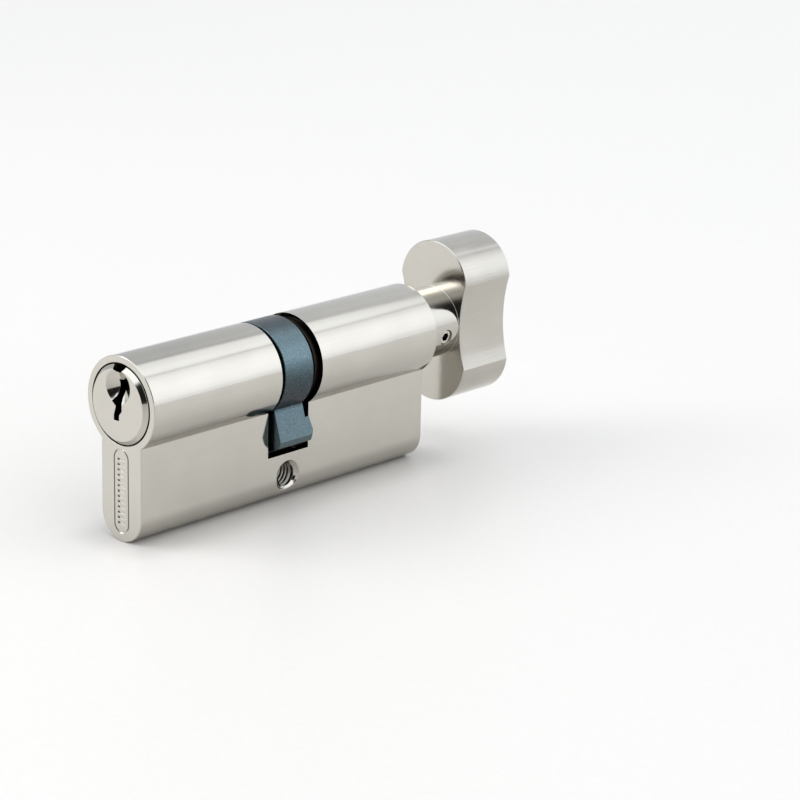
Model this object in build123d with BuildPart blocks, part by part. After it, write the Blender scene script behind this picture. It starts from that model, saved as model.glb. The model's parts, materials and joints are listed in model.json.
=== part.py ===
from build123d import *
from math import cos, hypot, radians, sin
import os

# Key-and-thumbturn euro cylinder, in millimetres.
# The origin is the centre of the M5 fixing-screw hole. The cylinder lies along Y: the key goes in at -Y and the
# knob is at +Y. X is right and Z is up. Profiles across the cylinder are drawn about the plug's axis.

# Housing, standard euro profile
AXIS_Z = 19.5
BARREL_R = 8.5
LEG_W = 10.0
KEY_SIDE = 35.0
KNOB_SIDE = 35.0
GAP_HALF = 5.0
GAP_FLOOR = -15.3
EDGE = 0.1
RUN = 0.03

# Fixing-screw hole, M5, countersunk at both ends
SCREW_R = 2.5
COUNTERSINK_R = 2.85

# Marking recess on the key face: an engraved stadium around a ladder of plain bars
MARK_W = 3.8
MARK_H = 15.3
MARK_Z = -15.5
MARK_LINE = 0.3
MARK_DEPTH = 0.25
BAR_W = 1.9
BAR_H = 0.42
BAR_PITCH = 0.95
BAR_COUNT = 13

# Plug and its head
PLUG_R = 6.5
PLUG_END = -3.4
HEAD_R = 7.0
HEAD_SEAT_R = 7.3
HEAD_SEAT_DEPTH = 1.7
HEAD_PROUD = 0.75
HEAD_BEVEL = 0.7
HEAD_GAP = 0.05
DISH_R = 3.05
DISH_DEPTH = 1.85
DISH_X = 0.15
DISH_Z = 3.3
NOTCH_R = 1.55
NOTCH_Z = 7.25
NOTCH_DEPTH = 4.5
KEYWAY_TOP = 4.3
PLUG_CHAMBER_TOP = 0.5

# Circlips: groove floor, ring and the mouth that lets them on
CLIP_GROOVE_R = 5.7
CLIP_INNER = 5.75
CLIP_MOUTH = 4.2
CLIP_PLAY = 0.03
PLUG_CLIP_R = 7.3
PLUG_CLIP = (-4.95, -4.3)
SPINDLE_CLIP_R = 7.6
SPINDLE_CLIP = (3.9, 4.9)

# Pin stacks, with the bottom pins standing at the shear line
STACK_Y = [-28.5, -24.5, -20.5, -16.5, -12.5]
KEY_PIN_LENGTHS = [4.2, 5.4, 4.8, 6.2, 5.1]
PIN_R = 1.4
PIN_CHAMFER = 0.3
CHAMBER_R = 1.45
SHEAR_Z = -6.4
SHEAR_GAP = 0.16
DRIVER_LEN = 5.0
CAP_TOP = -22.3
SPRING_WIRE = 0.3
SPRING_R = 1.1
SPRING_TURNS = 8
SPRING_PLAY = 0.05

# Cam: a ring with a nose that is wider at its tip
CAM_R = 8.45
CAM_LEFT = -4.15
CAM_RIGHT = 2.8
CAM_BORE = 4.55
CAM_SEAT_R = 6.7
CAM_SEAT_DEPTH = 0.9
CAM_EDGE = 0.15
TIP_R = 14.9
TIP_RIGHT = 4.45
TIP_CHAMFER = 0.5
FLANK_END = 13.65
TIP_BEVEL = 1.0
NOSE_ANGLE = 16.6
NOSE_W = 7.1
SHOULDER_R = 10.9
SHOULDER_RIGHT = 3.7

# Spindle: the knob's shaft, keyed to the cam by two lugs
SHAFT_LEFT = 2.95
SHAFT_RIGHT = 35.2
NOSE_R = 4.5
NOSE_END = -3.1
LUG_R = 5.6
LUG_W = 3.0
STUB_R = 4.0
STUB_END = 46.8
SPRING_HOLE_R = 1.5
SPRING_HOLE_END = 6.0

# Coupling dog: the key's tip pushes it out of the plug and into the spindle's nose
DOG_L = 8.4
DOG_W = 2.6
DOG_PLAY = 0.1
DOG_FRONT = -8.2
DOG_BACK = -3.6
CROSS_SLOT_DEPTH = 3.1
RETURN_WIRE = 0.35
RETURN_R = 1.15
RETURN_TURNS = 6

# Thumb knob, waisted between two round lobes
HUB_R = 6.65
KNOB_BACK = 43.0
KNOB_FRONT = 55.4
LOBE_R = 8.2
LOBE_Z = 7.2
LOBE_CORNER = 8.12
WAIST_HALF = 6.9
KNOB_EDGE = 0.12
HUB_CORNER = 0.08
KNOB_BORE_END = 47.0

# Grub screw, M3 with a 1.5 mm hexagon socket
GRUB_Y = 39.8
GRUB_R = 1.5
GRUB_ANGLE = -12.0
GRUB_INNER = 3.7
GRUB_OUTER = 6.35
GRUB_EDGE = 0.25
SOCKET_FLATS = 1.5
SOCKET_DEPTH = 1.3

LEG_DROP = AXIS_Z
LEG_R = LEG_W / 2
TOTAL = KEY_SIDE + KNOB_SIDE
OVERCUT = 1.0

PLUG_AXIS = Axis((0, 0, AXIS_Z), (0, 1, 0))
LENGTHWISE = Plane(origin=(0, 0, AXIS_Z), x_dir=(0, 1, 0), z_dir=(1, 0, 0))


def section(y):
    """Plane across the cylinder at y, facing the key side, with its origin on the plug's axis."""
    return Plane(origin=(0, y, AXIS_Z), x_dir=(1, 0, 0), z_dir=(0, -1, 0))


def level(z):
    """Horizontal plane at a height from the plug's axis."""
    return Plane.XY.offset(AXIS_Z + z)


def save(part, name):
    """Label a finished sub-part and write it as its own node."""
    part.label = name
    export_step(part, f"parts/{name}.step")


os.makedirs("parts", exist_ok=True)

# Housing
with BuildPart() as body:
    with BuildSketch(section(KNOB_SIDE)):
        Circle(BARREL_R)
        with Locations((0, -LEG_DROP / 2)):
            Rectangle(LEG_W, LEG_DROP)
        with Locations((0, -LEG_DROP)):
            Circle(LEG_R)
    extrude(amount=TOTAL)
    end_faces = body.faces().filter_by(Plane.XZ)
    chamfer(end_faces.edges(), EDGE)

    # Gap for the cam
    with BuildSketch(section(GAP_HALF)):
        with Locations((0, (GAP_FLOOR + BARREL_R + OVERCUT) / 2)):
            Rectangle(2 * (BARREL_R + OVERCUT), BARREL_R + OVERCUT - GAP_FLOOR)
    extrude(amount=2 * GAP_HALF, mode=Mode.SUBTRACT)

    # Bores for the plug and the spindle, and the seat of the plug's head
    with BuildSketch(section(-GAP_HALF + OVERCUT)):
        Circle(PLUG_R + RUN)
    extrude(amount=KEY_SIDE, mode=Mode.SUBTRACT)
    with BuildSketch(section(KNOB_SIDE + OVERCUT)):
        Circle(PLUG_R + RUN)
    extrude(amount=KNOB_SIDE, mode=Mode.SUBTRACT)
    with BuildSketch(section(-KEY_SIDE + HEAD_SEAT_DEPTH)):
        Circle(HEAD_SEAT_R)
    extrude(amount=HEAD_SEAT_DEPTH + OVERCUT, mode=Mode.SUBTRACT)

    # Pin chambers, drilled up through the leg into the plug's bore
    with BuildSketch(level(-LEG_DROP - LEG_R - OVERCUT)):
        with Locations([(0, y) for y in STACK_Y]):
            Circle(CHAMBER_R)
    extrude(amount=LEG_DROP + LEG_R + OVERCUT - PLUG_R + OVERCUT / 2, mode=Mode.SUBTRACT)

    # Fixing-screw hole, from side to side of the leg
    with BuildSketch(Plane.YZ.offset(-LEG_R - OVERCUT)):
        Circle(SCREW_R)
    extrude(amount=LEG_W + 2 * OVERCUT, mode=Mode.SUBTRACT)
    mouths = body.edges().filter_by(GeomType.CIRCLE).filter_by(lambda edge: abs(edge.radius - SCREW_R) < EDGE)
    chamfer(mouths, COUNTERSINK_R - SCREW_R)

    # Marking recess
    with BuildSketch(section(-KEY_SIDE + MARK_DEPTH)):
        with Locations((0, MARK_Z)):
            SlotOverall(MARK_H, MARK_W, rotation=90)
            SlotOverall(MARK_H - 2 * MARK_LINE, MARK_W - 2 * MARK_LINE, rotation=90, mode=Mode.SUBTRACT)
            with GridLocations(0, BAR_PITCH, 1, BAR_COUNT):
                Rectangle(BAR_W, BAR_H)
    extrude(amount=MARK_DEPTH + OVERCUT, mode=Mode.SUBTRACT)
save(body.part, "body")

# Caps pressed in the bottoms of the pin chambers, trimmed to the round of the leg
with BuildPart() as chamber_caps:
    with BuildSketch(level(-LEG_DROP - LEG_R)):
        with Locations([(0, y) for y in STACK_Y]):
            Circle(CHAMBER_R)
    extrude(amount=LEG_DROP + LEG_R + CAP_TOP)
    with BuildSketch(section(KNOB_SIDE)):
        with Locations((0, -LEG_DROP)):
            Circle(LEG_R)
    extrude(amount=TOTAL, mode=Mode.INTERSECT)
save(chamber_caps.part, "chamber_caps")

# Key plug
with BuildPart() as key_plug:
    with BuildSketch(LENGTHWISE):
        with BuildLine():
            Polyline(
                (-KEY_SIDE - HEAD_PROUD, 0),
                (-KEY_SIDE - HEAD_PROUD, HEAD_R - HEAD_BEVEL),
                (-KEY_SIDE - HEAD_PROUD + HEAD_BEVEL, HEAD_R),
                (-KEY_SIDE + HEAD_SEAT_DEPTH - HEAD_GAP, HEAD_R),
                (-KEY_SIDE + HEAD_SEAT_DEPTH - HEAD_GAP, PLUG_R),
                (PLUG_CLIP[0] - CLIP_PLAY, PLUG_R),
                (PLUG_CLIP[0] - CLIP_PLAY, CLIP_GROOVE_R),
                (PLUG_CLIP[1] + CLIP_PLAY, CLIP_GROOVE_R),
                (PLUG_CLIP[1] + CLIP_PLAY, PLUG_R),
                (PLUG_END, PLUG_R),
                (PLUG_END, 0),
                close=True,
            )
        make_face()
    revolve(axis=PLUG_AXIS)

    # Warded keyway, from the face to the coupling dog's slot
    with BuildSketch(section(DOG_FRONT)):
        with BuildLine():
            Polyline(
                (-0.7, KEYWAY_TOP),
                (-0.7, 1.5),
                (-1.4, 0.5),
                (-0.45, -0.2),
                (-0.95, -1.9),
                (-0.95, -2.75),
                (0.35, -2.75),
                (0.4, -1.7),
                (1.05, -0.9),
                (1.05, 0.2),
                (0.7, 1.4),
                (0.85, KEYWAY_TOP),
                close=True,
            )
        make_face()
    extrude(amount=TOTAL, mode=Mode.SUBTRACT)

    # Conical dish that leads the key in, and the round notch at the top of the head
    with Locations(section(-KEY_SIDE - HEAD_PROUD) * Location((DISH_X, DISH_Z, -DISH_DEPTH / 2))):
        Cone(0, DISH_R, DISH_DEPTH, mode=Mode.SUBTRACT)
    with BuildSketch(section(-KEY_SIDE - HEAD_PROUD + NOTCH_DEPTH)):
        with Locations((0, NOTCH_Z)):
            Circle(NOTCH_R)
    extrude(amount=NOTCH_DEPTH + OVERCUT, mode=Mode.SUBTRACT)

    # Pin chambers, open to the keyway
    with BuildSketch(level(-HEAD_R)):
        with Locations([(0, y) for y in STACK_Y]):
            Circle(CHAMBER_R)
    extrude(amount=HEAD_R + PLUG_CHAMBER_TOP, mode=Mode.SUBTRACT)

    # Slot of the coupling dog
    with BuildSketch(section(PLUG_END + OVERCUT)):
        Rectangle(DOG_L + 2 * DOG_PLAY, DOG_W + 2 * DOG_PLAY)
    extrude(amount=PLUG_END + OVERCUT - DOG_FRONT + DOG_PLAY, mode=Mode.SUBTRACT)
save(key_plug.part, "key_plug")


def circlip(outer, span):
    """Ring with a mouth at its bottom, between two distances along the cylinder."""
    with BuildPart() as ring:
        with BuildSketch(section(span[1])):
            Circle(outer)
            Circle(CLIP_INNER, mode=Mode.SUBTRACT)
            with Locations((0, -outer)):
                Rectangle(CLIP_MOUTH, outer, mode=Mode.SUBTRACT)
        extrude(amount=span[1] - span[0])
        fillet(ring.edges().filter_by(Axis.Y).group_by(Axis.Z)[0], PIN_CHAMFER)
    return ring.part


save(circlip(PLUG_CLIP_R, PLUG_CLIP), "plug_circlip")
save(circlip(SPINDLE_CLIP_R, SPINDLE_CLIP), "spindle_circlip")


def pin(y, top, length):
    """Chamfered pin that hangs from a height, at a distance along the cylinder."""
    with BuildPart() as turned:
        with BuildSketch(level(top - length)):
            with Locations((0, y)):
                Circle(PIN_R)
        extrude(amount=length)
        chamfer(turned.edges().filter_by(GeomType.CIRCLE), PIN_CHAMFER)
    return turned.part


def coil(radius, wire, start, end, turns):
    """Helical spring between two points."""
    length = (Vector(*end) - Vector(*start)).length - wire
    direction = (Vector(*end) - Vector(*start)).normalized()
    foot = Vector(*start) + direction * (wire / 2)
    with BuildPart() as spring:
        with BuildLine() as path:
            Helix(pitch=length / turns, height=length, radius=radius, center=tuple(foot), direction=tuple(direction))
        with BuildSketch(Plane(origin=path.line @ 0, z_dir=path.line % 0)):
            Circle(wire / 2)
        sweep(path=path.line, is_frenet=True)
    return spring.part


# Pin stacks: bottom pin in the plug, driver and spring in the housing
driver_top = SHEAR_Z - SHEAR_GAP
driver_bottom = driver_top - DRIVER_LEN
for number, (y, length) in enumerate(zip(STACK_Y, KEY_PIN_LENGTHS), start=1):
    save(pin(y, SHEAR_Z + length, length), f"key_pin_{number}")
    save(pin(y, driver_top, DRIVER_LEN), f"driver_pin_{number}")
    foot = (0, y, AXIS_Z + CAP_TOP + SPRING_PLAY)
    head = (0, y, AXIS_Z + driver_bottom - SPRING_PLAY)
    save(coil(SPRING_R, SPRING_WIRE, foot, head, SPRING_TURNS), f"pin_spring_{number}")

# Coupling dog and its return spring
with BuildPart() as coupling_dog:
    with BuildSketch(section(DOG_BACK)):
        RectangleRounded(DOG_L, DOG_W, PIN_CHAMFER)
    extrude(amount=DOG_BACK - DOG_FRONT)
save(coupling_dog.part, "coupling_dog")

spring_back = (0, SPRING_HOLE_END - SPRING_PLAY, AXIS_Z)
spring_front = (0, DOG_BACK + SPRING_PLAY, AXIS_Z)
save(coil(RETURN_R, RETURN_WIRE, spring_back, spring_front, RETURN_TURNS), "coupling_spring")

# Cam: its nose is turned towards +X
nose_plane = Plane(
    origin=(0, TIP_RIGHT, AXIS_Z),
    x_dir=(cos(radians(NOSE_ANGLE)), 0, sin(radians(NOSE_ANGLE))),
    z_dir=(0, -1, 0),
)
with BuildPart() as cam:
    with BuildSketch(LENGTHWISE):
        with BuildLine():
            Polyline(
                (CAM_LEFT, 0),
                (CAM_LEFT, TIP_R),
                (TIP_RIGHT, TIP_R),
                (SHOULDER_RIGHT, SHOULDER_R),
                (CAM_RIGHT, SHOULDER_R),
                (CAM_RIGHT, 0),
                close=True,
            )
        make_face()
    revolve(axis=PLUG_AXIS)
    with BuildSketch(nose_plane):
        with BuildLine():
            Polyline(
                (-NOSE_W / 2, 0),
                (-NOSE_W / 2, -FLANK_END),
                (-NOSE_W / 2 + TIP_BEVEL, -TIP_R),
                (NOSE_W / 2 - TIP_BEVEL, -TIP_R),
                (NOSE_W / 2, -FLANK_END),
                (NOSE_W / 2, 0),
                close=True,
            )
        make_face()
    extrude(amount=TIP_RIGHT - CAM_LEFT, mode=Mode.INTERSECT)
    tip_edges = [
        edge
        for edge in cam.edges()
        if edge.center().Y > (SHOULDER_RIGHT + TIP_RIGHT) / 2
        and hypot(edge.center().X, edge.center().Z - AXIS_Z) > FLANK_END
    ]
    chamfer(tip_edges, TIP_CHAMFER)
    with BuildSketch(section(CAM_RIGHT)):
        Circle(CAM_R)
    extrude(amount=CAM_RIGHT - CAM_LEFT)
    rim_edges = cam.edges().filter_by(GeomType.CIRCLE).filter_by(lambda edge: abs(edge.radius - CAM_R) < EDGE)
    chamfer(rim_edges, CAM_EDGE)
    with BuildSketch(section(CAM_RIGHT)):
        Circle(CAM_BORE)
        Rectangle(LUG_W + 2 * RUN, 2 * (LUG_R + RUN))
    extrude(amount=CAM_RIGHT - CAM_LEFT, mode=Mode.SUBTRACT)
    with BuildSketch(section(CAM_LEFT + CAM_SEAT_DEPTH)):
        Circle(CAM_SEAT_R)
    extrude(amount=CAM_SEAT_DEPTH, mode=Mode.SUBTRACT)
save(cam.part, "cam")

# Spindle
with BuildPart() as spindle:
    with BuildSketch(LENGTHWISE):
        with BuildLine():
            Polyline(
                (NOSE_END, 0),
                (NOSE_END, NOSE_R),
                (SHAFT_LEFT, NOSE_R),
                (SHAFT_LEFT, PLUG_R),
                (SPINDLE_CLIP[0] - CLIP_PLAY, PLUG_R),
                (SPINDLE_CLIP[0] - CLIP_PLAY, CLIP_GROOVE_R),
                (SPINDLE_CLIP[1] + CLIP_PLAY, CLIP_GROOVE_R),
                (SPINDLE_CLIP[1] + CLIP_PLAY, PLUG_R),
                (SHAFT_RIGHT, PLUG_R),
                (SHAFT_RIGHT, STUB_R),
                (STUB_END, STUB_R),
                (STUB_END, 0),
                close=True,
            )
        make_face()
    revolve(axis=PLUG_AXIS)
    with BuildSketch(section(SHAFT_LEFT)):
        Circle(LUG_R)
        Rectangle(LUG_W, 2 * LUG_R, mode=Mode.INTERSECT)
    extrude(amount=SHAFT_LEFT - NOSE_END)
    with BuildSketch(section(NOSE_END + CROSS_SLOT_DEPTH)):
        Rectangle(2 * LUG_R, DOG_W + 2 * DOG_PLAY)
    extrude(amount=CROSS_SLOT_DEPTH, mode=Mode.SUBTRACT)
    with BuildSketch(section(SPRING_HOLE_END)):
        Circle(SPRING_HOLE_R)
    extrude(amount=SPRING_HOLE_END - NOSE_END, mode=Mode.SUBTRACT)

    # Seat of the grub screw's point
    grub_plane = Plane(
        origin=(0, GRUB_Y, AXIS_Z),
        x_dir=(0, 1, 0),
        z_dir=(cos(radians(GRUB_ANGLE)), 0, sin(radians(GRUB_ANGLE))),
    )
    with BuildSketch(grub_plane.offset(GRUB_INNER)):
        Circle(GRUB_R)
    extrude(amount=OVERCUT, mode=Mode.SUBTRACT)
save(spindle.part, "spindle")

# Thumb knob
with BuildPart() as thumb_knob:
    with BuildSketch(section(KNOB_FRONT)):
        with BuildLine():
            lobe = ThreePointArc((-LOBE_CORNER, LOBE_CORNER), (0, LOBE_Z + LOBE_R), (LOBE_CORNER, LOBE_CORNER))
            ThreePointArc(lobe @ 1, (WAIST_HALF, 0), (LOBE_CORNER, -LOBE_CORNER))
            mirror(about=Plane.XZ)
            ThreePointArc(lobe @ 0, (-WAIST_HALF, 0), (-LOBE_CORNER, -LOBE_CORNER))
        make_face()
    extrude(amount=KNOB_FRONT - KNOB_BACK)
    chamfer(thumb_knob.faces().filter_by(Plane.XZ).edges(), KNOB_EDGE)
    with BuildSketch(section(KNOB_BACK)):
        Circle(HUB_R)
    extrude(amount=KNOB_BACK - SHAFT_RIGHT)
    hub_corner = thumb_knob.edges().filter_by(GeomType.CIRCLE).filter_by_position(Axis.Y, KNOB_BACK, KNOB_BACK)
    fillet(hub_corner.filter_by(lambda edge: abs(edge.radius - HUB_R) < EDGE), HUB_CORNER)
    with BuildSketch(section(KNOB_BORE_END)):
        Circle(STUB_R + RUN)
    extrude(amount=KNOB_BORE_END - SHAFT_RIGHT, mode=Mode.SUBTRACT)
    with BuildSketch(grub_plane):
        Circle(GRUB_R)
    extrude(amount=HUB_R + OVERCUT, mode=Mode.SUBTRACT)
save(thumb_knob.part, "thumb_knob")

# Grub screw
with BuildPart() as knob_grub_screw:
    with BuildSketch(grub_plane.offset(GRUB_INNER)):
        Circle(GRUB_R)
    extrude(amount=GRUB_OUTER - GRUB_INNER)
    outer_end = knob_grub_screw.faces().sort_by(Axis(grub_plane.origin, grub_plane.z_dir))[-1]
    chamfer(outer_end.edges(), GRUB_EDGE)
    with BuildSketch(grub_plane.offset(GRUB_OUTER - SOCKET_DEPTH)):
        RegularPolygon(SOCKET_FLATS / 2, 6, major_radius=False)
    extrude(amount=SOCKET_DEPTH, mode=Mode.SUBTRACT)
save(knob_grub_screw.part, "knob_grub_screw")
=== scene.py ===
import json
import math

import bmesh
import bpy
from mathutils import Matrix, Vector


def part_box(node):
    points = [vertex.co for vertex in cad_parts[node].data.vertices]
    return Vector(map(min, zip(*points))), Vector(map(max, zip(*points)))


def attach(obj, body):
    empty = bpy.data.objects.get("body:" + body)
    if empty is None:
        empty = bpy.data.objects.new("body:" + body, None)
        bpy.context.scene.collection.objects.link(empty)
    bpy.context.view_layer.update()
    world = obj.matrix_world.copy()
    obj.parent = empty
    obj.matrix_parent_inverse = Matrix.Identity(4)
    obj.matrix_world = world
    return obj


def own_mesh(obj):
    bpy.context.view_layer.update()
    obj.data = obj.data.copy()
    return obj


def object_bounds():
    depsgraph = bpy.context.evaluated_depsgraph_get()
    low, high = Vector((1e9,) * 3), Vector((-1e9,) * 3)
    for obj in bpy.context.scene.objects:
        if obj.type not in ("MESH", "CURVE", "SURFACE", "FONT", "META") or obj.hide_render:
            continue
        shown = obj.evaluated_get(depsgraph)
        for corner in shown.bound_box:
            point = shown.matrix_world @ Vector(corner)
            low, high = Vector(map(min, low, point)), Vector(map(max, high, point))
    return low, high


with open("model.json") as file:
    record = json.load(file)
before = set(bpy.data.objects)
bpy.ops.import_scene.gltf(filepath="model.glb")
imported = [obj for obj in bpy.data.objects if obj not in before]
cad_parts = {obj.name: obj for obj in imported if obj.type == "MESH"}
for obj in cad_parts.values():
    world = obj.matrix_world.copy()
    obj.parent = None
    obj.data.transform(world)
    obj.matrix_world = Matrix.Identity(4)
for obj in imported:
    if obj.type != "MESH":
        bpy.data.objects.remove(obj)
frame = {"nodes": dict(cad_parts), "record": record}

# Euro cylinder with a key side and a thumbturn. Lengths are in metres, in the frame of the CAD model: the
# origin is the middle of the fixing-screw hole, the cylinder lies along Y with its key side at -Y, and the
# plug's axis is straight above the origin.

MM = 0.001
cad_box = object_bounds()
nodes = frame["nodes"]


def middle(node):
    """Centre of a node's box."""
    low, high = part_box(node)
    return (Vector(low) + Vector(high)) / 2


def add_object(name, data):
    """New object in the scene."""
    item = bpy.data.objects.new(name, data)
    bpy.context.scene.collection.objects.link(item)
    return item


# The spindle is round and lies on the plug's axis.
AXIS_Z = middle("spindle").z
LEG_HALF = 5 * MM

# ---------------------------------------------------------------- camera

CAMERA_AZIMUTH = math.radians(42.597)
CAMERA_ELEVATION = math.radians(17.12)
CAMERA_ROLL = math.radians(1.298)
CAMERA_DISTANCE = 502.94 * MM
CAMERA_SIDEWAYS = 23.213 * MM
CAMERA_UPWARD = -6.281 * MM
CAMERA_LENS = 127.684
CAMERA_SENSOR = 36
CAMERA_NEAREST = 0.01
CAMERA_FARTHEST = 50


def add_camera():
    """Long-lens camera in front of the key side, to the right and a little above."""
    back = Vector((
        math.sin(CAMERA_AZIMUTH) * math.cos(CAMERA_ELEVATION),
        -math.cos(CAMERA_AZIMUTH) * math.cos(CAMERA_ELEVATION),
        math.sin(CAMERA_ELEVATION),
    ))
    level_right = Vector((math.cos(CAMERA_AZIMUTH), math.sin(CAMERA_AZIMUTH), 0))
    level_up = back.cross(level_right)
    right = math.cos(CAMERA_ROLL) * level_right + math.sin(CAMERA_ROLL) * level_up
    up = math.cos(CAMERA_ROLL) * level_up - math.sin(CAMERA_ROLL) * level_right
    place = Vector((0, 0, AXIS_Z)) + back * CAMERA_DISTANCE + right * CAMERA_SIDEWAYS + up * CAMERA_UPWARD

    data = bpy.data.cameras.new("camera")
    data.lens = CAMERA_LENS
    data.sensor_width = CAMERA_SENSOR
    data.clip_start = CAMERA_NEAREST
    data.clip_end = CAMERA_FARTHEST
    camera = add_object("camera", data)
    camera.matrix_world = Matrix((
        (right.x, up.x, back.x, place.x),
        (right.y, up.y, back.y, place.y),
        (right.z, up.z, back.z, place.z),
        (0, 0, 0, 1),
    ))
    bpy.context.scene.camera = camera


add_camera()

# ---------------------------------------------------------------- node graphs

# A Mix node's inputs for its two colours, and its output for their mix.
MIX_COLOURS = (6, 7)
MIX_RESULT = 2


class Graph:
    """A node tree, with short ways to add nodes and join them."""

    def __init__(self, tree, coordinates="Object"):
        self.tree = tree
        self.tree.nodes.clear()
        self.place = self.coordinates(coordinates)

    def add(self, kind, inputs=None, **settings):
        """New node of a kind, with its settings and its inputs, which are values or other nodes' outputs."""
        node = self.tree.nodes.new(kind)
        for key, value in settings.items():
            setattr(node, key, value)
        for key, value in (inputs or {}).items():
            self.feed(node.inputs[key], value)
        return node

    def feed(self, socket, value):
        """Gives an input another node's output or a fixed value."""
        if isinstance(value, bpy.types.NodeSocket):
            self.tree.links.new(value, socket)
        else:
            socket.default_value = value

    def coordinates(self, kind):
        """Places, directions or normals of one kind."""
        return self.add("ShaderNodeTexCoord").outputs[kind]

    def maths(self, operation, first, second=0.0):
        """Result of a sum on one or two numbers."""
        return self.add("ShaderNodeMath", {0: first, 1: second}, operation=operation).outputs[0]

    def split(self, vector=None):
        """The three parts of a vector, or else of the coordinates, as numbers."""
        return self.add("ShaderNodeSeparateXYZ", {0: self.place if vector is None else vector}).outputs

    def distance(self, first, second):
        """Length across two distances at right angles."""
        squares = [self.maths("MULTIPLY", side, side) for side in (first, second)]
        return self.maths("SQRT", self.maths("ADD", *squares))

    def radius(self, centre_z):
        """Distance from the line along Y at a height."""
        x, _, z = self.split()
        return self.distance(x, self.maths("SUBTRACT", z, centre_z))

    def noise(self, cells, detail=3.0, roughness=0.55):
        """Noise from 0 to 1 with a number of cells per metre along each axis."""
        place = self.add("ShaderNodeMapping", {"Vector": self.place, "Scale": cells}).outputs["Vector"]
        return self.noise_at(place, detail, roughness)

    def noise_at(self, place, detail, roughness):
        """Noise from 0 to 1 at places counted in cells."""
        inputs = {"Vector": place, "Scale": 1.0, "Detail": detail, "Roughness": roughness}
        return self.add("ShaderNodeTexNoise", inputs).outputs["Fac"]

    def turned_noise(self, centre_z, rings, arcs):
        """Noise drawn out round the line along Y at a height, as a lathe leaves it on an end face.

        rings is its cells per metre outwards, and arcs its cells per radian round.
        """
        x, _, z = self.split()
        radius = self.radius(centre_z)
        height = self.maths("SUBTRACT", z, centre_z)
        place = self.add("ShaderNodeCombineXYZ", {
            0: self.maths("MULTIPLY", radius, rings),
            1: self.maths("MULTIPLY", self.maths("DIVIDE", x, radius), arcs),
            2: self.maths("MULTIPLY", self.maths("DIVIDE", height, radius), arcs),
        }).outputs[0]
        return self.noise_at(place, detail=2.0, roughness=0.6)

    def spread(self, value, low, high, start=0.3, end=0.7, smooth=False):
        """Number moved from start..end, which is most of a noise's range unless given, to low..high."""
        inputs = {"Value": value, "From Min": start, "From Max": end, "To Min": low, "To Max": high}
        kind = "SMOOTHSTEP" if smooth else "LINEAR"
        return self.add("ShaderNodeMapRange", inputs, interpolation_type=kind).outputs["Result"]

    def between(self, value, limits, softness):
        """1 between two limits and 0 outside them, with a soft step at each."""
        low, high = limits
        half = softness / 2
        past_low = self.spread(value, 0.0, 1.0, low - half, low + half)
        before_high = self.spread(value, 1.0, 0.0, high - half, high + half)
        return self.maths("MULTIPLY", past_low, before_high)

    def blend(self, factor, first, second, mode="MIX"):
        """Mix of two colours."""
        node = self.add("ShaderNodeMix", {"Factor": factor}, data_type="RGBA", blend_type=mode)
        for socket, colour in zip(MIX_COLOURS, (first, second)):
            fixed = isinstance(colour, tuple)
            self.feed(node.inputs[socket], (*colour, 1) if fixed else colour)
        return node.outputs[MIX_RESULT]

    def ramp(self, value, stops, unit=1.0):
        """Colour read from a list of levels, in a unit, and colours."""
        lowest = stops[0][0]
        highest = stops[-1][0]
        along = self.spread(value, 0.0, 1.0, lowest * unit, highest * unit)
        node = self.add("ShaderNodeValToRGB", {0: along})
        elements = node.color_ramp.elements
        for index, (level, colour) in enumerate(stops):
            position = (level - lowest) / (highest - lowest)
            # A new ramp has two stops already.
            stop = elements[index] if index < 2 else elements.new(position)
            stop.position = position
            stop.color = (*colour, 1)
        return node.outputs["Color"]

    def close(self, kind, inputs, output):
        """Ends the tree with one shader."""
        shader = self.add(kind, inputs)
        self.tree.links.new(shader.outputs[0], self.add(output).inputs["Surface"])


def new_material(name):
    """Empty node material and the graph of its tree."""
    material = bpy.data.materials.new(name)
    material.use_nodes = True
    return material, Graph(material.node_tree)


def toned(colour, factor):
    """Colour made darker or lighter."""
    return tuple(part * factor for part in colour)


# ---------------------------------------------------------------- metals

NICKEL = (0.50, 0.478, 0.432)
KNOB_TONE = 0.93
CAP_TONE = 0.94
# Painted shade: the dark colour given to hidden bores and pockets, from the first to the second depth behind
# the key face and within the bore's radius.
PAINTED_SHADE = (0.035, 0.03, 0.025)
FACE_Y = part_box("body")[0][1]
BORE_RADIUS = 7.4 * MM
POCKET_START = 0.7 * MM
POCKET_END = 1.5 * MM
# The cam's gap, which gets painted shade, from just past its side walls and from its floor up.
GAP_HALF = 5.005 * MM
GAP_FLOOR = AXIS_Z - 15.31 * MM
# The fixing-screw hole, up to the countersinks at its ends; its threaded part gets painted shade, at a share
# of the full darkening.
HOLE_RADIUS = 2.55 * MM
THREAD_REACH = 4.0 * MM
THREAD_SHADE = 0.75
# The grub screw's socket gets painted shade below this distance from the plug's axis, just under the screw's
# outer end.
SOCKET_TOP = 6.2 * MM

CLOUD_CELLS = 140
# How far the grain moves the roughness, as a share of it, and how far the cloud moves it.
GRAIN_SHARE = 0.2
CLOUD_SHIFT = 0.015
EDGE_RADIUS = 0.08 * MM
EDGE_SAMPLES = 4
# An end face points this much along Y. Its turning marks have this many cells per metre outwards, and this
# many per radian round.
END_FACING = 0.95
TURNED_RINGS = 3200
TURNED_ARCS = 3


def pocket_shade(g):
    """Mask of painted shade: 1 in the housing's bores, behind the key face, and 0 outside them."""
    depth = g.spread(g.split()[1], 0.0, 1.0, FACE_Y + POCKET_START, FACE_Y + POCKET_END)
    inside = g.maths("LESS_THAN", g.radius(AXIS_Z), BORE_RADIUS)
    return g.maths("MULTIPLY", depth, inside)


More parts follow.
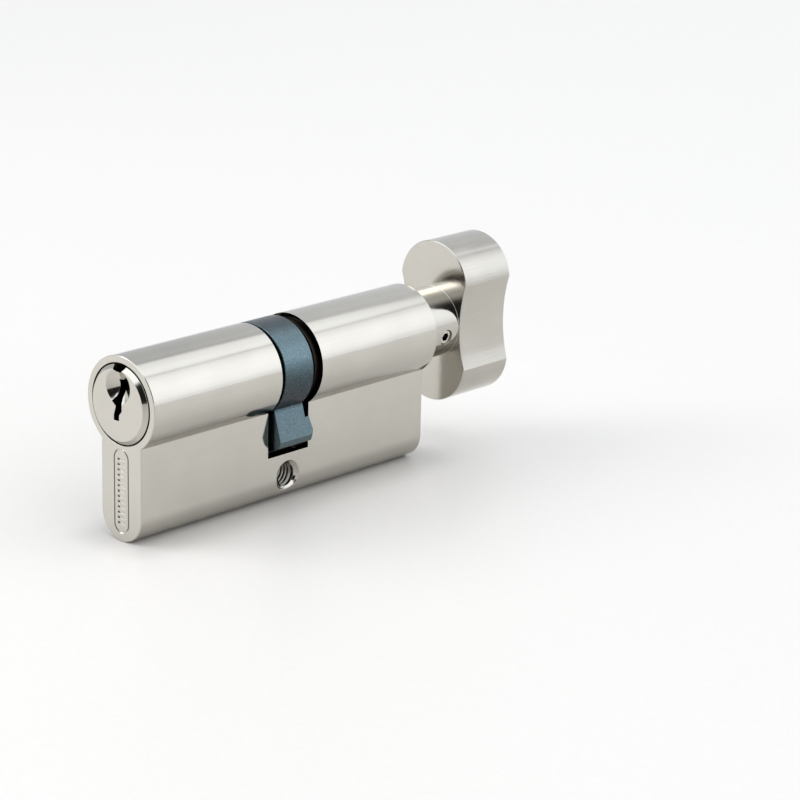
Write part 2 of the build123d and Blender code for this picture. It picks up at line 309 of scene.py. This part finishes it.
def in_thread(g):
    """1 within the threaded part of the fixing-screw hole, and 0 outside it."""
    x, y, z = g.split()
    near_axis = g.maths("LESS_THAN", g.distance(y, z), HOLE_RADIUS)
    return g.maths("MULTIPLY", near_axis, g.maths("LESS_THAN", g.maths("ABSOLUTE", x), THREAD_REACH))


def housing_shade(g):
    """Mask of painted shade in the bores, the cam's gap and the thread."""
    _, y, z = g.split()
    between_walls = g.maths("LESS_THAN", g.maths("ABSOLUTE", y), GAP_HALF)
    gap = g.maths("MULTIPLY", between_walls, g.maths("GREATER_THAN", z, GAP_FLOOR))
    dark = g.maths("MAXIMUM", pocket_shade(g), gap)
    return g.maths("MAXIMUM", dark, g.maths("MULTIPLY", in_thread(g), THREAD_SHADE))


def socket_shade(g):
    """Mask of painted shade: 1 below the mouth of the grub screw's socket, and 0 above it."""
    return g.maths("LESS_THAN", g.radius(AXIS_Z), SOCKET_TOP)


def bumped(g, height, depth, edge_radius):
    """Normal with softened edges and a fine bump."""
    rounded = g.add("ShaderNodeBevel", {"Radius": edge_radius}, samples=EDGE_SAMPLES).outputs[0]
    inputs = {"Strength": 1.0, "Distance": depth, "Height": height, "Normal": rounded}
    return g.add("ShaderNodeBump", inputs).outputs[0]


def turned_ends(g, depth, normal):
    """Normal with turning marks round the plug's axis on the end faces."""
    facing = g.split(g.coordinates("Normal"))[1]
    on_end = g.maths("GREATER_THAN", g.maths("ABSOLUTE", facing), END_FACING)
    marks = g.turned_noise(AXIS_Z, TURNED_RINGS, TURNED_ARCS)
    inputs = {"Strength": on_end, "Distance": depth, "Height": marks, "Normal": normal}
    return g.add("ShaderNodeBump", inputs).outputs[0]


def close_metal(g, tone, roughness, normal):
    """Ends a material's tree with a bare metal surface."""
    inputs = {"Base Color": tone, "Metallic": 1.0, "Roughness": roughness, "Normal": normal}
    g.close("ShaderNodeBsdfPrincipled", inputs, "ShaderNodeOutputMaterial")


def plated(name, colour, roughness, grain, grain_depth, variation=0.03, shade=None, end_depth=0.0):
    """Plated or bare metal: cloudy tone, fine grain and softened edges.

    grain is its cells per metre along each axis, and variation is how far the tone moves either way. shade is
    a function that gives a number from 0 to 1, which darkens the metal towards the painted shade colour.
    end_depth is the depth of turning marks on the end faces. Both depths are in millimetres.
    """
    material, g = new_material(name)
    cloud = g.noise((CLOUD_CELLS, CLOUD_CELLS, CLOUD_CELLS), detail=2.0)
    fine = g.noise(grain, detail=4.0, roughness=0.65)
    patches = g.maths("ADD", g.spread(cloud, 0.0, 0.5), g.spread(fine, 0.0, 0.5))
    tone = g.blend(patches, toned(colour, 1 - variation), toned(colour, 1 + variation))
    # Painted shade: the mask darkens the tone towards a near-black colour.
    if shade:
        tone = g.blend(shade(g), tone, PAINTED_SHADE)
    from_grain = g.spread(fine, roughness * (1 - GRAIN_SHARE), roughness * (1 + GRAIN_SHARE))
    from_cloud = g.spread(cloud, -CLOUD_SHIFT, CLOUD_SHIFT)
    normal = bumped(g, fine, grain_depth * MM, EDGE_RADIUS)
    if end_depth:
        normal = turned_ends(g, end_depth * MM, normal)
    close_metal(g, tone, g.maths("ADD", from_grain, from_cloud), normal)
    return material


# Oxide colours of the cam, with painted light and shade by height, at heights from the plug's axis in
# millimetres:
# the nose, the ring's underside in painted shade, its flank, and the band of painted light round its upper
# part.
OXIDE_AND_PAINTED_LIGHT = (
    (-15.0, (0.102, 0.142, 0.150)), (-7.0, (0.094, 0.140, 0.160)), (-6.35, (0.030, 0.036, 0.044)),
    (-4.0, (0.038, 0.048, 0.054)), (-0.5, (0.050, 0.072, 0.080)), (1.0, (0.076, 0.116, 0.134)),
    (3.2, (0.118, 0.176, 0.198)), (6.6, (0.118, 0.170, 0.188)), (8.5, (0.060, 0.074, 0.082)),
)
OXIDE_CELLS = 260
OXIDE_WANDER = 0.25 * MM
SPECKLE_CELLS = 3600
# Specks: their colour, the most of it, and the part of the speckle noise over which they come or go.
DARK_SPECKS = (0.03, 0.04, 0.048)
DARK_MOST = 0.36
DARK_NOISE = (0.38, 0.75)
PALE_SPECKS = (0.24, 0.29, 0.30)
PALE_MOST = 0.24
PALE_NOISE = (0.3, 0.52)
CAM_EDGE_RADIUS = 0.15 * MM
CAM_GRAIN_DEPTH = 0.005 * MM
CAM_ROUGHNESS = (0.26, 0.36)


def oxide_and_painted_light_material(name):
    """Sintered steel with a blue-grey oxide and painted light and shade by height, uneven in colour and with
    a visible fine grain.
    """
    material, g = new_material(name)
    height = g.maths("SUBTRACT", g.split()[2], AXIS_Z)
    cloud = g.noise((OXIDE_CELLS, OXIDE_CELLS, OXIDE_CELLS), detail=2.0)
    wander = g.spread(cloud, -OXIDE_WANDER, OXIDE_WANDER)
    tone = g.ramp(g.maths("ADD", height, wander), OXIDE_AND_PAINTED_LIGHT, MM)
    speckle = g.noise((SPECKLE_CELLS, SPECKLE_CELLS, SPECKLE_CELLS), detail=2.0, roughness=0.7)
    tone = g.blend(g.spread(speckle, 0.0, DARK_MOST, *DARK_NOISE), tone, DARK_SPECKS)
    tone = g.blend(g.spread(speckle, PALE_MOST, 0.0, *PALE_NOISE), tone, PALE_SPECKS)
    normal = bumped(g, speckle, CAM_GRAIN_DEPTH, CAM_EDGE_RADIUS)
    close_metal(g, tone, g.spread(speckle, *CAM_ROUGHNESS), normal)
    return material


# The looks of the record's material slots, apart from the cam's.
METALS = {
    # Nickel polished along the drawn profile, with painted shade in its bores, the cam's gap and the thread.
    "housing_nickel": {
        "colour": NICKEL, "roughness": 0.1, "grain": (6000, 60, 6000), "grain_depth": 0.0012,
        "variation": 0.05, "shade": housing_shade,
    },
    # Nickel with a fine polished face, and painted shade on the plug behind its key face.
    "plug_nickel": {
        "colour": NICKEL, "roughness": 0.1, "grain": (5000, 300, 5000), "grain_depth": 0.0002,
        "shade": pocket_shade,
    },
    # Nickel brushed along the cylinder, with turned end faces.
    "knob_nickel": {
        "colour": toned(NICKEL, KNOB_TONE), "roughness": 0.13, "grain": (5000, 150, 5000),
        "grain_depth": 0.004, "variation": 0.06, "end_depth": 0.012,
    },
    # Nickel over caps dressed flush with the leg.
    "cap_nickel": {
        "colour": toned(NICKEL, CAP_TONE), "roughness": 0.18, "grain": (9000, 400, 9000),
        "grain_depth": 0.0004,
    },
    # Black oxide on spring steel.
    "black_spring_steel": {
        "colour": (0.028, 0.024, 0.02), "roughness": 0.3, "grain": (4000, 4000, 4000), "grain_depth": 0.001,
        "variation": 0.2,
    },
    # Zinc-plated screw steel, with painted shade in the grub screw's socket.
    "screw_steel": {
        "colour": (0.55, 0.53, 0.49), "roughness": 0.2, "grain": (3000, 3000, 3000), "grain_depth": 0.001,
        "shade": socket_shade,
    },
    # Ground steel.
    "hard_steel": {
        "colour": (0.35, 0.36, 0.37), "roughness": 0.3, "grain": (300, 6000, 6000), "grain_depth": 0.001,
    },
    # Bright drawn wire.
    "spring_wire": {
        "colour": (0.48, 0.48, 0.48), "roughness": 0.22, "grain": (5000, 5000, 5000), "grain_depth": 0.0008,
    },
    # Turned brass.
    "pin_brass": {
        "colour": (0.62, 0.44, 0.18), "roughness": 0.24, "grain": (400, 400, 9000), "grain_depth": 0.001,
        "variation": 0.06,
    },
    # Turned and plated brass.
    "turned_brass": {
        "colour": (0.45, 0.42, 0.36), "roughness": 0.25, "grain": (400, 9000, 400), "grain_depth": 0.001,
    },
}
CAM_SLOT = "blued_steel"
materials = {slot: plated(slot, **look) for slot, look in METALS.items()}
materials[CAM_SLOT] = oxide_and_painted_light_material(CAM_SLOT)


def dress(piece, slot):
    """Gives a piece one material in all its slots."""
    piece.data.materials.clear()
    piece.data.materials.append(materials[slot])


for entry in frame["record"]["subparts"]:
    dress(nodes[entry["node"]], entry["material_slot"])

# ---------------------------------------------------------------- fixing-screw thread

THREAD_OUTER = 2.5 * MM
THREAD_INNER = 2.1 * MM
THREAD_PITCH = 0.8 * MM
THREAD_STEPS = 64
# Half widths of the helical ridge at its crest and at its root.
CREST_HALF = 0.1 * THREAD_PITCH
ROOT_HALF = 0.46 * THREAD_PITCH
# The ridge rises and falls away over a quarter turn at its ends, from this share of its height.
FADE_STEPS = THREAD_STEPS / 4
FADE_LEAST = 0.02
# Each end has a land that carries the 90 degree countersink on from the thread's root to its crest.
LAND_OUTER_END = 4.65 * MM
LAND_INNER_END = LAND_OUTER_END - (THREAD_OUTER - THREAD_INNER)
LAND_FLAT = 0.15 * MM
LAND_BACK = LAND_INNER_END - LAND_FLAT
LAND_RUNOUT = THREAD_PITCH / 4


def turn_ring(mesh, profile, step, along=0.0):
    """Vertices of a profile of distances along X and from it, turned about the X axis by some steps."""
    angle = 2 * math.pi * step / THREAD_STEPS
    return [mesh.verts.new((along + x, r * math.sin(angle), r * math.cos(angle))) for x, r in profile]


def bridge(mesh, rings):
    """Faces from each ring of vertices to the next."""
    size = len(rings[0])
    for first, second in zip(rings, rings[1:]):
        for i in range(size):
            j = (i + 1) % size
            mesh.faces.new((first[i], first[j], second[j], second[i]))


def add_ridge(mesh):
    """Helical ridge of the M5 thread, from one land to the other."""
    start = -LAND_BACK + ROOT_HALF
    turns = (2 * LAND_BACK - 2 * ROOT_HALF) / THREAD_PITCH
    count = int(turns * THREAD_STEPS)
    rings = []
    for step in range(count + 1):
        fade = min(1.0, step / FADE_STEPS, (count - step) / FADE_STEPS)
        crest = THREAD_OUTER - (THREAD_OUTER - THREAD_INNER) * max(fade, FADE_LEAST)
        profile = (
            (-ROOT_HALF, THREAD_OUTER), (-CREST_HALF, crest), (CREST_HALF, crest), (ROOT_HALF, THREAD_OUTER),
        )
        rings.append(turn_ring(mesh, profile, step, start + THREAD_PITCH * step / THREAD_STEPS))
    bridge(mesh, rings)
    mesh.faces.new(rings[0][::-1])
    mesh.faces.new(rings[-1])


def add_land(mesh, side):
    """Closed ring at one end of the thread, with the countersink's last slope."""
    land = (
        (LAND_OUTER_END, THREAD_OUTER), (LAND_INNER_END, THREAD_INNER), (LAND_BACK, THREAD_INNER),
        (LAND_BACK - LAND_RUNOUT, THREAD_OUTER),
    )
    profile = [(side * x, r) for x, r in land]
    rings = [turn_ring(mesh, profile, step) for step in range(THREAD_STEPS)]
    bridge(mesh, rings + rings[:1])


def add_thread():
    """M5 thread inside the fixing-screw hole, from one countersink to the other."""
    mesh = bmesh.new()
    add_ridge(mesh)
    for side in (-1, 1):
        add_land(mesh, side)
    bmesh.ops.recalc_face_normals(mesh, faces=mesh.faces)
    data = bpy.data.meshes.new("fixing_screw_thread")
    mesh.to_mesh(data)
    mesh.free()
    piece = add_object("fixing_screw_thread", data)
    dress(piece, "housing_nickel")
    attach(piece, "housing")


add_thread()

# ---------------------------------------------------------------- springs


def press_springs():
    """Gives each spring that a joint deforms its own mesh."""
    for joint in frame["record"]["behaviour"]["joints"]:
        for entry in joint.get("deforming_nodes", []):
            spring = nodes[entry["node"]]
            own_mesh(spring)


press_springs()

# ---------------------------------------------------------------- floor

FLOOR_SIZE = 8.0
PAPER = (0.69, 0.664, 0.628)
PAPER_CELLS = 900
PAPER_VARIATION = 0.01
PAPER_ROUGHNESS = 0.45
PAPER_SHEEN = 0.9
# Painted contact shadow: within this reach of the cylinder's footprint, the floor darkens down to this share
# of its tone.
PAINTED_SHADOW_REACH = 8 * MM
PAINTED_SHADOW_TONE = 0.85


def add_floor():
    """Pale floor with a slight sheen under the leg, and a painted contact shadow that makes it a little
    darker close to the cylinder.
    """
    mesh = bpy.data.meshes.new("floor")
    half = FLOOR_SIZE / 2
    height = cad_box[0][2]
    corners = [(-half, -half, height), (half, -half, height), (half, half, height), (-half, half, height)]
    mesh.from_pydata(corners, [], [(0, 1, 2, 3)])
    floor = add_object("floor", mesh)

    material, g = new_material("floor_paper")
    mottle = g.spread(g.noise((PAPER_CELLS, PAPER_CELLS, PAPER_CELLS)), 0.0, 1.0)
    paper = g.blend(mottle, toned(PAPER, 1 - PAPER_VARIATION), toned(PAPER, 1 + PAPER_VARIATION))
    # Painted contact shadow: the distance from the cylinder's footprint, and the floor darkened close to it.
    x, y, _ = g.split()
    body_low, body_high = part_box("body")
    past_end = g.maths("SUBTRACT", g.maths("ABSOLUTE", y), (body_high[1] - body_low[1]) / 2)
    across = g.maths("SUBTRACT", g.maths("ABSOLUTE", x), LEG_HALF)
    away = g.distance(g.maths("MAXIMUM", past_end, 0.0), g.maths("MAXIMUM", across, 0.0))
    near = g.spread(away, 1.0, 0.0, 0.0, PAINTED_SHADOW_REACH, smooth=True)
    paper = g.blend(near, paper, toned(PAPER, PAINTED_SHADOW_TONE))
    inputs = {"Base Color": paper, "Roughness": PAPER_ROUGHNESS, "Specular IOR Level": PAPER_SHEEN}
    g.close("ShaderNodeBsdfPrincipled", inputs, "ShaderNodeOutputMaterial")
    floor.data.materials.append(material)


# ---------------------------------------------------------------- studio

# The studio is the world's background. Its angles are in degrees round the cylinder's length, from straight
# up towards +X, and its spans are of how far a direction points along +Y, from -1 to 1.
# Right of one edge hangs a large bright panel with a thin seam, and left of it the studio is dimmer. Both are
# lists of angles and levels.
PANEL = (
    (-90, 1.50), (-14, 1.52), (-8, 1.58), (4, 1.72), (12, 1.80), (17.7, 1.74), (21.2, 1.30), (23.2, 1.30),
    (26.2, 1.60), (40, 1.87), (56, 1.95), (72, 1.89), (81, 1.76), (85, 1.58), (90, 1.50),
)
DIM_SIDE = ((-90, 0.70), (-60, 0.765), (-40, 0.79), (-28, 0.84), (-22, 0.80), (90, 0.80))
STUDIO_TINT = (0.965, 1.0, 1.05)
# Colours hold levels as shares of this one, and the background's strength multiplies them by it again.
STUDIO_TOP = 2.0
PANEL_EDGE = -15.3
EDGE_SOFTNESS = 3.2
# Over the near span the panel's edge turns and the dim side rises. Over the far span, past the panel's end,
# the edge goes back, the seam shifts and the panel fades, more on the left than on the right.
NEAR_SPAN = (0.65, 0.70)
EDGE_TURN = 5.8
DIM_RISE = 1.19
FAR_SPAN = (0.70, 0.728)
EDGE_RETREAT = 14.0
SEAM_SHIFT = 6.0
LEFT_FADE = 0.74
RIGHT_FADE = 0.93
FADE_ANGLES = (14.0, 44.0)
# Bright panel in front, from the left to just right of overhead.
FRONT_PANEL = 2.0
FRONT_SPAN = (-0.3, -0.1)
FRONT_ANGLES = (14, 20)
# Dark opening in front and to the right: its bearings from -Y towards +X, and its heights, both in degrees.
OPENING_BEARINGS = (-12, 62)
OPENING_HEIGHTS = (1, 42)
OPENING_SOFTNESS = 6
OPENING_TONE = 0.01
TO_DEGREES = 180 / math.pi


def studio_light(level):
    """Colour of the studio's light at a level."""
    return tuple(level * tint / STUDIO_TOP for tint in STUDIO_TINT)


def angle_ramp(g, angle, levels):
    """Light read from a list of angles and levels."""
    return g.ramp(angle, [(degrees, studio_light(level)) for degrees, level in levels])


def side_light(g, y, round_angle):
    """Light of the large panel and of the dim side."""
    turn = g.spread(y, 0.0, EDGE_TURN, *NEAR_SPAN)
    retreat = g.spread(y, 0.0, EDGE_RETREAT, *FAR_SPAN)
    from_edge = g.maths("SUBTRACT", g.maths("SUBTRACT", round_angle, turn), retreat)
    limits = (PANEL_EDGE - EDGE_SOFTNESS, PANEL_EDGE + EDGE_SOFTNESS)
    on_panel = g.spread(from_edge, 0.0, 1.0, *limits, smooth=True)
    rise = g.spread(y, 1.0, DIM_RISE, *NEAR_SPAN)
    shifted = g.maths("ADD", round_angle, g.spread(y, 0.0, SEAM_SHIFT, *FAR_SPAN))
    fade = g.spread(y, 1.0, g.spread(round_angle, LEFT_FADE, RIGHT_FADE, *FADE_ANGLES), *FAR_SPAN)
    dim = g.blend(1.0, angle_ramp(g, round_angle, DIM_SIDE), rise, mode="MULTIPLY")
    panel = g.blend(1.0, angle_ramp(g, shifted, PANEL), fade, mode="MULTIPLY")
    return g.blend(on_panel, dim, panel)


def add_studio():
    """World of large soft panels round the cylinder."""
    world = bpy.data.worlds.new("studio")
    world.use_nodes = True
    g = Graph(world.node_tree, "Generated")
    x, y, z = g.split()
    round_angle = g.maths("MULTIPLY", g.maths("ARCTAN2", x, z), TO_DEGREES)
    light = side_light(g, y, round_angle)

    in_front = g.spread(y, 1.0, 0.0, *FRONT_SPAN, smooth=True)
    in_front = g.maths("MULTIPLY", in_front, g.spread(round_angle, 1.0, 0.0, *FRONT_ANGLES))
    light = g.blend(in_front, light, studio_light(FRONT_PANEL))

    bearing = g.maths("MULTIPLY", g.maths("ARCTAN2", x, g.maths("MULTIPLY", y, -1.0)), TO_DEGREES)
    height = g.maths("MULTIPLY", g.maths("ARCSINE", z), TO_DEGREES)
    across = g.between(bearing, OPENING_BEARINGS, OPENING_SOFTNESS)
    upward = g.between(height, OPENING_HEIGHTS, OPENING_SOFTNESS)
    light = g.blend(g.maths("MULTIPLY", across, upward), light, (OPENING_TONE, OPENING_TONE, OPENING_TONE))
    g.close("ShaderNodeBackground", {"Color": light, "Strength": STUDIO_TOP}, "ShaderNodeOutputWorld")
    bpy.context.scene.world = world


LAMP_SIZE = 260 * MM
LAMP_PLACE = Vector((-330, -330, 330)) * MM
LAMP_TARGET = Vector((-90, -110, 0)) * MM
LAMP_RADIANCE = 3.4


def add_lamp():
    """Square soft box at the front left, which brightens the floor that the key face looks down on."""
    data = bpy.data.lights.new("soft_box", "AREA")
    data.shape = "SQUARE"
    data.size = LAMP_SIZE
    data.energy = LAMP_RADIANCE * math.pi * LAMP_SIZE**2
    lamp = add_object("soft_box", data)
    lamp.location = LAMP_PLACE
    lamp.rotation_euler = (LAMP_TARGET - LAMP_PLACE).to_track_quat("-Z", "Y").to_euler()


add_lamp()
add_floor()
add_studio()
bpy.context.scene.view_settings.view_transform = "Standard"
